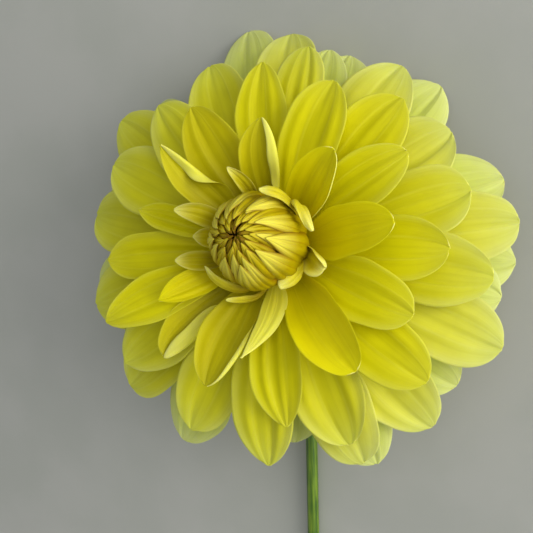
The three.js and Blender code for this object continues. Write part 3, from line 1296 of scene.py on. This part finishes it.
@dataclass(frozen=True)
class Bud:
    """The closed bud: many florets folded over each other towards a dark whorl.

    The first florets are the outer ones, those up to ripe have their yellow, and the rest are
    the brown-gold centre. profile is radius and height from the bud's foot to its apex. The
    spans are stretches of a floret's length, 0 at its foot and 1 at its tip.
    """

    florets: int = 50
    outer: int = 16
    ripe: int = 38
    offset: Span = (0.85, 1.1)
    profile: tuple[Span, ...] = (
        (6.7, 10.6),
        (9.5, 13.0),
        (11.3, 16.2),
        (11.9, 20.0),
        (11.2, 25.0),
        (9.1, 30.0),
        (6.0, 34.4),
        (2.7, 36.9),
        (0.0, 37.5),
    )
    thickness: float = 0.3
    whorl_radius: float = 0.5
    tips_spread: float = 7.6
    outer_length: float = 24.0
    youngest_length: float = 5.0
    lengthening: float = 14.0
    lowest_foot: float = 30.5
    narrowest: float = 0.6
    widening: float = 4.2
    foot_share: float = 0.75
    tapers_from: float = 0.25
    tapering: float = 0.985
    taper_power: float = 1.7
    layer: float = 0.042
    arch: float = 0.24
    fold_depth: float = 0.62
    fold_width: float = 0.12
    second_fold: float = 0.8
    fold_fading: float = 0.6
    edge_tuck: float = 0.5
    tip_lift: float = 0.35
    seed: int = 300
    foot_opens: Span = (0, 0.3)
    folds_rise: Span = (0.05, 0.35)
    folds_fade: Span = (0.7, 1.0)
    tip_lifts: Span = (0.75, 1.0)

    def surface(self, s: np.ndarray) -> tuple[np.ndarray, np.ndarray]:
        """The bud's outline by distance from its apex.

        Args:
            s: Distances from the apex along the outline, in millimetres.

        Returns:
            Radius and height at each distance, and the unit normal out of the bud there.
        """
        points = np.array(self.profile[::-1])
        smooth = catmull(points, np.linspace(0, len(points) - 1, 240))
        smooth[:, 0] = np.maximum(smooth[:, 0], 0)
        lengths = running_sum(np.linalg.norm(np.diff(smooth, axis=0), axis=1))
        slope = np.gradient(smooth, lengths, axis=0)
        place = np.stack([np.interp(s, lengths, smooth[:, k]) for k in range(2)], -1)
        along = unit(np.stack([np.interp(s, lengths, slope[:, k]) for k in range(2)], -1))
        return place, np.stack([-along[:, 1], along[:, 0]], -1)

    def floret_grid(self, number: int, stations: int = 30, strips: int = 18) -> np.ndarray:
        """The middle surface of one floret, from its foot to its tip near the whorl.

        Args:
            number: Which floret, 0 being the outermost.
            stations: Grid steps along it.
            strips: Grid steps across it.

        Returns:
            Points by station and strip, in the head's frame.
        """
        rng = random.Random(self.seed + number)
        age = 1 - number / (self.florets - 1)
        tip = self.whorl_radius + self.tips_spread * age**1.1 + rng.uniform(-0.8, 0.8) * age
        length = self.youngest_length + self.lengthening * age
        length = self.outer_length if number < self.outer else length
        foot = min(tip + length, self.lowest_foot)
        widest = self.narrowest + self.widening * age
        azimuth = FIRST_AZIMUTH + GOLDEN_ANGLE * (number + 1) + rng.uniform(-6, 6)
        u = places_tapering(stations)
        v = np.linspace(-1, 1, strips + 1)
        outline, normal = self.surface(foot + (tip - foot) * u)
        opening = self.foot_share + (1 - self.foot_share) * smoothstep(u, *self.foot_opens)
        closing = np.clip((u - self.tapers_from) / (1 - self.tapers_from), 0, 1)
        half = widest * opening * (1 - self.tapering * closing**self.taper_power)
        crease, whorl, over = rng.uniform(-0.42, -0.24), rng.uniform(0, 22), rng.uniform(0.1, 0.4)
        apart = rng.uniform(0.56, 0.74)
        folds = ridge(v, crease, self.fold_width)
        folds = folds + self.second_fold * ridge(v, crease + apart, self.fold_width)
        rows = []
        for i, along in enumerate(u):
            share = half[i] / widest
            depth = self.fold_depth * share * folds * smoothstep(along, *self.folds_rise)
            up = -self.layer * number + self.arch * half[i] * (1 - v**2) + over * v * share
            up = up - depth * (1 - self.fold_fading * smoothstep(along, *self.folds_fade))
            up = up - self.edge_tuck * share * np.abs(v) ** 4
            up = up + self.tip_lift * smoothstep(along, *self.tip_lifts) * age
            radius = outline[i, 0] + up * normal[i, 0]
            height = outline[i, 1] + up * normal[i, 1]
            turn = half[i] * v / max(outline[i, 0], 0.8)
            angle = math.radians(azimuth + whorl * along**2) + turn
            x = radius * np.cos(angle) + self.offset[0]
            y = radius * np.sin(angle) + self.offset[1]
            rows.append(np.stack([x, y, height], -1))
        return np.array(rows)

    def build(self) -> list[Piece]:
        """Builds the florets' meshes.

        Returns:
            The florets from the outermost in.
        """
        built = []
        for number in range(self.florets):
            middle = self.floret_grid(number)
            thickness = np.full(middle.shape[:2], self.thickness)
            built.append(sheet_object(f"bud_floret_{number + 1:02d}", middle, thickness))
        return built


@dataclass(frozen=True)
class LeaningFloret:
    """A small floret that has just come loose from the bud.

    spine gives azimuth, radius and height from its foot to its tip. lean is how far its reverse
    looks up, in degrees, at the foot and at the tip: 0 looks outwards and 90 straight up.
    """

    spine: tuple[tuple[float, float, float], ...]
    half_width: float
    lean: Span
    cup: float = 40.0
    point: float = 0.75
    widest: float = 0.5
    fold_left: float = 0.0
    fold_right: float = 0.0
    crumple: float = 0.08
    thickness: float = 0.28
    foot_share: float = 0.45
    tapering: float = 0.97
    folds_at: Span = (0.3, 0.6)
    keel: float = 0.12
    keel_at: float = 0.1
    keel_width: float = 0.15
    ruffles_along: float = 9.0
    ruffles_across: float = 4.0
    ruffles_grow: Span = (0.2, 0.6)

    def line(self, u: np.ndarray) -> tuple[np.ndarray, np.ndarray]:
        """The floret's spine as a smooth line.

        Args:
            u: Places along the floret.

        Returns:
            The point at each place, and the unit direction of travel there.
        """
        turned = [
            (r * math.cos(math.radians(a)), r * math.sin(math.radians(a)), z)
            for a, r, z in self.spine
        ]
        points = catmull(np.array(turned), u * (len(turned) - 1))
        return points, unit(np.gradient(points, axis=0))

    def section(self, v: np.ndarray) -> tuple[np.ndarray, np.ndarray]:
        """The floret's cross-section, the same along its whole length but for its size.

        Args:
            v: Places across it, -1 to 1.

        Returns:
            Sideways distance and depth at each place, as shares of the half width.
        """
        side = np.where(v < 0, self.fold_left, self.fold_right)
        fold = smoothstep(np.abs(v), *self.folds_at) * side
        slope = np.radians(np.sign(v) * (self.cup * np.abs(v) + fold))
        middle = (slope[1:] + slope[:-1]) / 2
        across = running_sum(np.cos(middle) * np.diff(v))
        deep = running_sum(np.sin(middle) * np.diff(v))
        keel = self.keel * ridge(v, self.keel_at, self.keel_width)
        centre = len(v) // 2
        return across - across[centre], deep - deep[centre] + keel

    def grid(self, stations: int = 26, strips: int = 16) -> np.ndarray:
        """The floret's middle surface.

        Args:
            stations: Grid steps along it.
            strips: Grid steps across it.

        Returns:
            Points by station and strip, in the head's frame.
        """
        u = places_tapering(stations)
        v = np.linspace(-1, 1, strips + 1)
        line, ahead = self.line(u)
        across, deep = self.section(v)
        closing = np.clip((u - self.widest) / (1 - self.widest), 0, 1)
        opening = self.foot_share + (1 - self.foot_share) * smoothstep(u, 0, self.widest)
        half = opening * (1 - self.tapering * closing**2) ** self.point
        rows = []
        for i, along in enumerate(u):
            lean = math.radians(self.lean[0] + (self.lean[1] - self.lean[0]) * along)
            level = unit(line[i] * np.array([1, 1, 0]))
            back = math.cos(lean) * level + np.array([0, 0, math.sin(lean)])
            back = unit(back - ahead[i] * (back @ ahead[i]))
            side = np.cross(back, ahead[i])
            ruffle = np.sin(self.ruffles_along * along + self.ruffles_across * v + self.half_width)
            ruffle = self.crumple * ruffle * np.abs(v)
            bent = (deep + ruffle * smoothstep(along, *self.ruffles_grow))[:, None]
            reach = half[i] * self.half_width
            rows.append(line[i] + reach * (across[:, None] * side - bent * back))
        return np.array(rows)

    def build(self, name: str) -> Piece:
        """Builds the floret's mesh.

        Args:
            name: The object's name.

        Returns:
            The floret, with its face and its reverse as the two material numbers.
        """
        middle = self.grid()
        thickness = thinned(middle, self.thickness, rim=0.85, power=3, tip=0.2)
        return sheet_object(name, middle, thickness)


# The leaning florets, in the order in which they were set round the bud.
LEANING_FLORETS = (
    LeaningFloret(
        ((262, 9.5, 12), (249, 12.6, 16.5), (231, 13.9, 19.5), (216, 14.1, 22), (204, 13.3, 24.5)),
        2.4, (40, 55), cup=60,
    ),
    LeaningFloret(
        ((28, 11, 14), (38, 14.4, 21), (49, 15.4, 26.5), (59, 14.8, 29.5), (68, 13.6, 31)),
        2.2, (10, 60), cup=45, point=0.6,
    ),
    LeaningFloret(
        (
            (345, 9.5, 12.5), (338, 12.6, 15.5), (329, 13.2, 18), (315, 13.4, 19.8),
            (301, 12.9, 20.5),
        ),
        2.7, (30, 50), cup=55, point=0.35, widest=0.75, crumple=0.2,
    ),
    LeaningFloret(
        ((152, 9.5, 11), (150, 14.6, 15.5), (152, 19.6, 19.5), (156, 24.1, 22.5)),
        3.1, (-60, -62), cup=35,
    ),
    LeaningFloret(
        ((30, 10.5, 13), (36, 14.4, 18), (37, 16.4, 23.5), (25, 16.9, 25.5), (9, 16.8, 23.5)),
        2.5, (0, 60), cup=60, point=0.45, fold_right=70, crumple=0.3,
    ),
    LeaningFloret(
        ((274, 10, 11), (262, 13.2, 14), (252, 14.6, 15.5), (244, 15.6, 17), (237, 16.6, 18)),
        1.2, (50, 60), cup=30, point=0.5,
    ),
    LeaningFloret(
        ((104, 9.5, 11.5), (101, 14.5, 15.5), (104, 18.3, 19.5), (109, 21.3, 22.5)),
        2.3, (-60, -60), cup=50,
    ),
    LeaningFloret(
        ((357, 9.5, 12), (352, 13.3, 16.5), (345, 16.7, 19.5), (340, 20, 21)),
        4.1, (-60, -62), cup=35, point=0.35, widest=0.75, fold_left=60, crumple=0.16,
    ),
    LeaningFloret(
        ((196, 9.5, 11), (193, 14.8, 15), (191, 19, 19), (189, 22.4, 21.5)),
        2.9, (-60, -55),
    ),
    LeaningFloret(
        ((171, 9.5, 11.5), (169, 13.3, 15), (170, 15.6, 18.5), (171, 17.5, 20.8)),
        3.0, (-50, -50), cup=45,
    ),
)


@dataclass(frozen=True)
class Heart:
    """The closed heart: the bud and the florets that lean on it."""

    bud: Bud = Bud()
    leaning: tuple[LeaningFloret, ...] = LEANING_FLORETS

    def build(self) -> list[Piece]:
        """Builds the meshes of the bud and of the leaning florets.

        Returns:
            The bud's florets from the outermost in, and then the leaning ones.
        """
        built = self.bud.build()
        for number, floret in enumerate(self.leaning, start=1):
            built.append(floret.build(f"leaning_floret_{number:02d}"))
        return built

    def dress(self, pieces: list[Piece]) -> None:
        """Gives the florets the skins of their age, and the heart's node.

        Args:
            pieces: The bud's florets from the outermost in, and then the leaning ones.
        """
        bud_skins = (BUD_OUTER_SKIN, BUD_MIDDLE_SKIN, BUD_INNER_SKIN)
        outer, middle, centre = (skin.build() for skin in bud_skins)
        loose = (LEANING_SKIN.build(), LEANING_REVERSE_SKIN.build())
        stages = (
            (self.bud.outer, (outer, centre)),
            (self.bud.ripe, (middle, centre)),
            (self.bud.florets, (centre, centre)),
            (len(pieces), loose),
        )
        for number, piece in enumerate(pieces):
            skins = next(skins for end, skins in stages if number < end)
            hand_over(piece, skins, "heart")


# ------------------------------------------------------------------ stem and calyx

# Smooth green skin with a low sheen, drawn out in fine fibres that show as paler streaks.
STEM_SKIN = GreenSkin("fresh_stem_skin", "#3C6010", "#74921F", 0.42, 0.9)
# Pith cut with a blade: pale, matt and damp, so that the end stands out from the skin.
CUT_PITH = GreenSkin("cut_pith", "#A9B56A", "#D5DCA6", 0.7, 0.5)
# Soft yellow-green flesh, seen only in the gaps between the petals' claws.
RECEPTACLE_FLESH = GreenSkin("receptacle_flesh", "#A8A418", "#CCC63C", 0.6, 0.9)
# Outer bracts are thick like a leaf, and the ribs give them a soft, dull shine.
FLESHY_BRACT_SKIN = GreenSkin(
    "fleshy_bract_skin", "#567818", "#849C34", 0.55, streak_mm=0.93, width_mm=8.4
)
# Inner bracts are thin and dry, so they look paler and duller than the outer ones.
PAPERY_BRACT_SKIN = GreenSkin(
    "papery_bract_skin", "#98A440", "#BCC068", 0.6, streak_mm=0.93, width_mm=11.2
)


@dataclass(frozen=True)
class Stem:
    """The cut stem with its bent neck, and the receptacle in which it ends.

    The stem flares into a green cup, on which stands a dome as wide as the petals' claws.
    """

    radius: float = 1.8
    length: float = 118.0
    neck_straight: float = 9.0
    bend_radius: float = 18.0
    bend_angle: float = 75.0
    azimuth: float = -94.0
    hollow_radius: float = 0.8
    hollow_depth: float = 6.0
    taper: float = 0.9
    chamfer: float = 0.05
    ribs: int = 9
    rib_depth: float = 0.035
    rib_drift: float = 0.01
    steps: int = 150
    facets: int = 48
    flare: tuple[Span, ...] = (
        (0.0, -11.0),
        (1.85, -11.0),
        (2.3, -9.4),
        (3.4, -8.2),
        (5.2, -7.0),
        (7.0, -6.2),
        (10.6, -4.6),
        (0.0, -4.4),
    )
    dome_foot: Span = (9.8, -4.7)
    dome_apex: float = 12.3
    claw_overlap: Span = (0.35, 0.18)

    def centre_line(self, travelled: np.ndarray) -> tuple[np.ndarray, np.ndarray]:
        """The stem's centre line.

        Args:
            travelled: Distances from the head along the stem, in millimetres.

        Returns:
            Points of the line, and its unit direction, in the head's frame.
        """
        bend = self.bend_radius * math.radians(self.bend_angle)
        angle = np.clip(travelled - self.neck_straight, 0, bend) / self.bend_radius
        before = np.minimum(travelled, self.neck_straight)
        after = np.maximum(travelled - self.neck_straight - bend, 0)
        out = self.bend_radius * (1 - np.cos(angle)) + after * np.sin(angle)
        down = before + self.bend_radius * np.sin(angle) + after * np.cos(angle)
        azimuth = math.radians(self.azimuth)
        heading = np.array([math.cos(azimuth), math.sin(azimuth), 0])
        up = np.array([0, 0, 1.0])
        points = out[:, None] * heading - down[:, None] * up
        direction = np.sin(angle)[:, None] * heading - np.cos(angle)[:, None] * up
        return points, direction

    def tube(self) -> Piece:
        """Builds the ribbed stem with its hollow cut end.

        Returns:
            The tube, with its skin and the cut pith as the two material numbers.
        """
        points, direction = self.centre_line(np.linspace(0, self.length, self.steps))
        side = unit(np.cross(direction[0], direction[-1]))
        turns = np.arange(self.facets) * 2 * math.pi / self.facets
        rings = []
        for k, (point, ahead) in enumerate(zip(points, direction)):
            around = np.cos(turns)[:, None] * side + np.sin(turns)[:, None] * np.cross(side, ahead)
            groove = (1 - np.cos(self.ribs * turns + self.rib_drift * k)) / 2
            ribbed = self.radius * (1 - self.rib_depth * groove)
            rings.append(point + ribbed[:, None] * around)
        # The cut end follows the last ring: a small chamfer, the hollow's mouth and its floor.
        hollow_end = point - ahead * self.hollow_depth
        rings.append(point + self.radius * self.taper * around + ahead * self.chamfer)
        rings.append(point + self.hollow_radius * around)
        rings.append(hollow_end + self.hollow_radius * self.taper * around)
        grid = np.concatenate([*rings, [points[0], hollow_end]])
        deepest = (len(rings) - 1) * self.facets
        first, last = len(grid) - 2, len(grid) - 1
        skin_end = (self.steps - 1) * self.facets
        faces, slots = [], []
        for a in range(0, deepest, self.facets):
            b = a + self.facets
            for j in range(self.facets):
                k = (j + 1) % self.facets
                faces.append((a + j, b + j, b + k, a + k))
                slots.append(0 if a < skin_end else 1)
        for j in range(self.facets):
            k = (j + 1) % self.facets
            faces.append((first, j, k))
            faces.append((last, deepest + k, deepest + j))
            slots += [0, 1]
        return build_object("stem_tube", grid, faces, slots)

    def build(self) -> list[Piece]:
        """Builds the meshes of the stem and of the receptacle.

        Returns:
            The tube, the cup and the dome.
        """
        closer, lower = self.claw_overlap
        claws = [(shell.base[0] - closer, shell.base[1] - lower) for shell in reversed(SHELLS)]
        foot, apex = (0.0, self.dome_foot[1]), (0.0, self.dome_apex)
        return [
            self.tube(),
            revolved_object("receptacle_cup", self.flare),
            revolved_object("receptacle", (foot, self.dome_foot, *claws, apex)),
        ]

    def dress(self, pieces: list[Piece]) -> None:
        """Gives the stem and the receptacle their skins and the stem's node.

        Args:
            pieces: The tube, the cup and the dome.
        """
        skin, pith, flesh = (skin.build() for skin in (STEM_SKIN, CUT_PITH, RECEPTACLE_FLESH))
        for piece, skins in zip(pieces, ((skin, pith), (skin,), (flesh,))):
            hand_over(piece, skins, "stem")


@dataclass(frozen=True)
class BractRow:
    """One row of bracts round the stem, in millimetres, degrees and shares.

    foot and tip are radius and height, and knee is their share at the bend between them.
    """

    name: str
    skin: GreenSkin
    first_azimuth: float
    foot: Span
    tip: Span
    half_width: float
    thickness: float
    count: int = 8
    stations: int = 22
    strips: int = 14
    knee: Span = (0.55, 0.45)
    foot_share: float = 0.75
    roundness: float = 2.2
    point: float = 0.55
    least_share: float = 0.03
    sway: float = 5.0
    cupping: float = 0.5
    midrib: float = 0.15
    midrib_width: float = 0.2

    def bract(self, number: int) -> Piece:
        """Builds the mesh of one bract.

        Args:
            number: Which bract of the row, from 1.

        Returns:
            The bract, a sheet that bends outwards over a knee.
        """
        name = f"{self.name}_{number}"
        azimuth = self.first_azimuth + 360 / self.count * (number - 1)
        foot, tip = np.array(self.foot), np.array(self.tip)
        knee = np.array(self.knee) * (foot + tip)
        sway = random.Random(name).uniform(-self.sway, self.sway)
        u = places_rounding(self.stations)
        v = np.linspace(-1, 1, self.strips + 1)
        rows = []
        for along in u:
            s = 1 - along
            radius, height = s * s * foot + 2 * s * along * knee + along * along * tip
            belly = self.foot_share + (1 - self.foot_share) * math.sin(math.pi * along)
            end = max((1 - along**self.roundness) ** self.point, self.least_share)
            half = self.half_width * belly * end
            cupped = self.cupping * v**2 * math.sin(math.pi * min(along + 0.2, 1))
            height = height + cupped + self.midrib * ridge(v, 0.0, self.midrib_width)
            angle = math.radians(azimuth + sway * along) + half * v / radius
            rows.append(np.stack([radius * np.cos(angle), radius * np.sin(angle), height], -1))
        middle = np.array(rows)
        return sheet_object(name, middle, np.full(middle.shape[:2], self.thickness))


@dataclass(frozen=True)
class Calyx:
    """The calyx: fleshy green outer bracts, and papery inner ones behind the last petals."""

    rows: tuple[BractRow, ...] = (
        BractRow("outer_bract", FLESHY_BRACT_SKIN, 0, (7.4, -6.8), (25.0, -12.5), 4.2, 0.7),
        BractRow("inner_bract", PAPERY_BRACT_SKIN, 22.5, (8.2, -5.6), (22.0, -7.2), 5.6, 0.3),
    )

    def build(self) -> list[Piece]:
        """Builds the bracts' meshes.

        Returns:
            The bracts, row by row.
        """
        return [row.bract(number) for row in self.rows for number in range(1, row.count + 1)]

    def dress(self, pieces: list[Piece]) -> None:
        """Gives each row its skin, and the bracts their node.

        Args:
            pieces: The bracts, row by row.
        """
        left = iter(pieces)
        for row in self.rows:
            skin = row.skin.build()
            for _ in range(row.count):
                hand_over(next(left), (skin, skin), "calyx")


# ------------------------------------------------------------------ studio


@dataclass(frozen=True)
class Viewpoint:
    """The photograph's viewpoint, fixed to the flower's head.

    tilt is the angle between the head's axis and the line of sight, lean the direction of that
    tilt. The head's origin stands at (aim_x, aim_y) from the middle of the view at its depth.
    """

    tilt: float = 21.0
    lean: float = 10.0
    distance: float = 265.0
    aim_x: float = 4.26
    aim_y: float = 4.26
    mm_across: float = 146.6
    sensor_mm: float = 36.0

    def axes(self) -> np.ndarray:
        """Turns the head's frame into the camera's.

        Returns:
            The head's axes as columns, in the camera's right, up and back directions.
        """
        tilt, lean = math.radians(self.tilt), math.radians(self.lean)
        axis = np.array(
            [-math.sin(tilt) * math.cos(lean), math.sin(tilt) * math.sin(lean), math.cos(tilt)]
        )
        right = unit(np.array([1.0, 0, 0]) - axis[0] * axis)
        return np.stack([right, np.cross(axis, right), axis], -1)

    def camera_matrix(self) -> Matrix:
        """Places the camera.

        Returns:
            Where it stands and looks in the row's frame.
        """
        axes = self.axes()
        seat = axes.T @ np.array([-self.aim_x, -self.aim_y, self.distance])
        turn = np.array(HEAD.rotation()) @ axes.T
        matrix = Matrix(turn.tolist()).to_4x4()
        matrix.translation = Vector(HEAD.to_row(seat[None])[0])
        return matrix

    def build(self) -> None:
        """Builds the camera and makes it the scene's own."""
        lens = bpy.data.cameras.new("camera")
        lens.sensor_width = self.sensor_mm
        lens.lens = self.sensor_mm * self.distance / self.mm_across
        lens.clip_start = 10 * MM
        camera = link_object("camera", lens)
        camera.matrix_world = self.camera_matrix()
        bpy.context.scene.camera = camera


@dataclass(frozen=True)
class SoftLight:
    """A soft round lamp: its direction from the flower in the camera's view, size and power."""

    name: str
    direction: tuple[float, float, float]
    distance: float
    size: float
    power: float
    colour: str

    def build(self, view: Matrix, target: Vector) -> None:
        """Builds the lamp.

        Args:
            view: Where the camera stands and looks.
            target: What the lamp points at.
        """
        lamp = bpy.data.lights.new(self.name, "AREA")
        lamp.shape = "DISK"
        lamp.size = self.size
        lamp.energy = self.power
        lamp.color = srgb(self.colour)[:3]
        way = (view.to_3x3() @ Vector(self.direction)).normalized()
        thing = link_object(self.name, lamp)
        thing.location = target + way * self.distance
        thing.rotation_euler = way.to_track_quat("Z", "Y").to_euler()


@dataclass(frozen=True)
class Studio:
    """A plain pale floor, soft window-like light and the camera."""

    viewpoint: Viewpoint = Viewpoint()
    lights: tuple[SoftLight, ...] = (
        SoftLight("window_light", (0.86, 0.1, 0.78), 1.0, 0.9, 10.7, "#FFFCF6"),
        SoftLight("fill_light", (0.05, 0.15, 0.98), 1.1, 0.9, 2.7, "#FFFEFA"),
    )
    floor_half: float = 2.0
    sky: str = "#DDE0E2"
    sky_strength: float = 0.5

    def build_floor(self) -> None:
        """Builds the board that the flower lies on."""
        half = self.floor_half
        corners = [(-half, -half, 0), (half, -half, 0), (half, half, 0), (-half, half, 0)]
        mesh = bpy.data.meshes.new("floor")
        mesh.from_pydata(corners, [], [(0, 1, 2, 3)])
        mesh.materials.append(PaintedBoard().build())
        link_object("floor", mesh)

    def build_sky(self) -> None:
        """Builds the even light of the room, and shows colours as they are."""
        world = bpy.data.worlds.new("studio_sky")
        world.use_nodes = True
        background = world.node_tree.nodes["Background"]
        background.inputs["Color"].default_value = srgb(self.sky)
        background.inputs["Strength"].default_value = self.sky_strength
        bpy.context.scene.world = world
        bpy.context.scene.view_settings.view_transform = "Standard"

    def build(self) -> None:
        """Builds the camera, the floor, the lamps and the sky."""
        self.viewpoint.build()
        self.build_floor()
        for light in self.lights:
            light.build(self.viewpoint.camera_matrix(), HEAD.origin())
        self.build_sky()


# ------------------------------------------------------------------ assembly


class Assembly(Protocol):
    """A part of the flower that builds its meshes and then dresses them."""

    def build(self) -> list[Piece]:
        """Builds the meshes."""

    def dress(self, pieces: list[Piece]) -> None:
        """Gives them their materials and nodes."""


def write_sizes() -> None:
    """Brings the view layer up to date once every piece is built."""
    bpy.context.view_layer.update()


def main() -> None:
    """Builds the flower from the stem to the heart, then the studio round it."""
    logging.basicConfig(level=logging.INFO, format="%(name)s: %(message)s")
    assemblies: dict[str, Assembly] = {
        "stem and receptacle": Stem(),
        "calyx": Calyx(),
        "petals": Petals(),
        "heart": Heart(),
    }
    for name, assembly in assemblies.items():
        pieces = assembly.build()
        assembly.dress(pieces)
        for piece in pieces:
            log.info("%s: %s, %d faces", name, piece.name, len(piece.data.polygons))
    Studio().build()
    write_sizes()


if __name__ == "__main__":
    main()
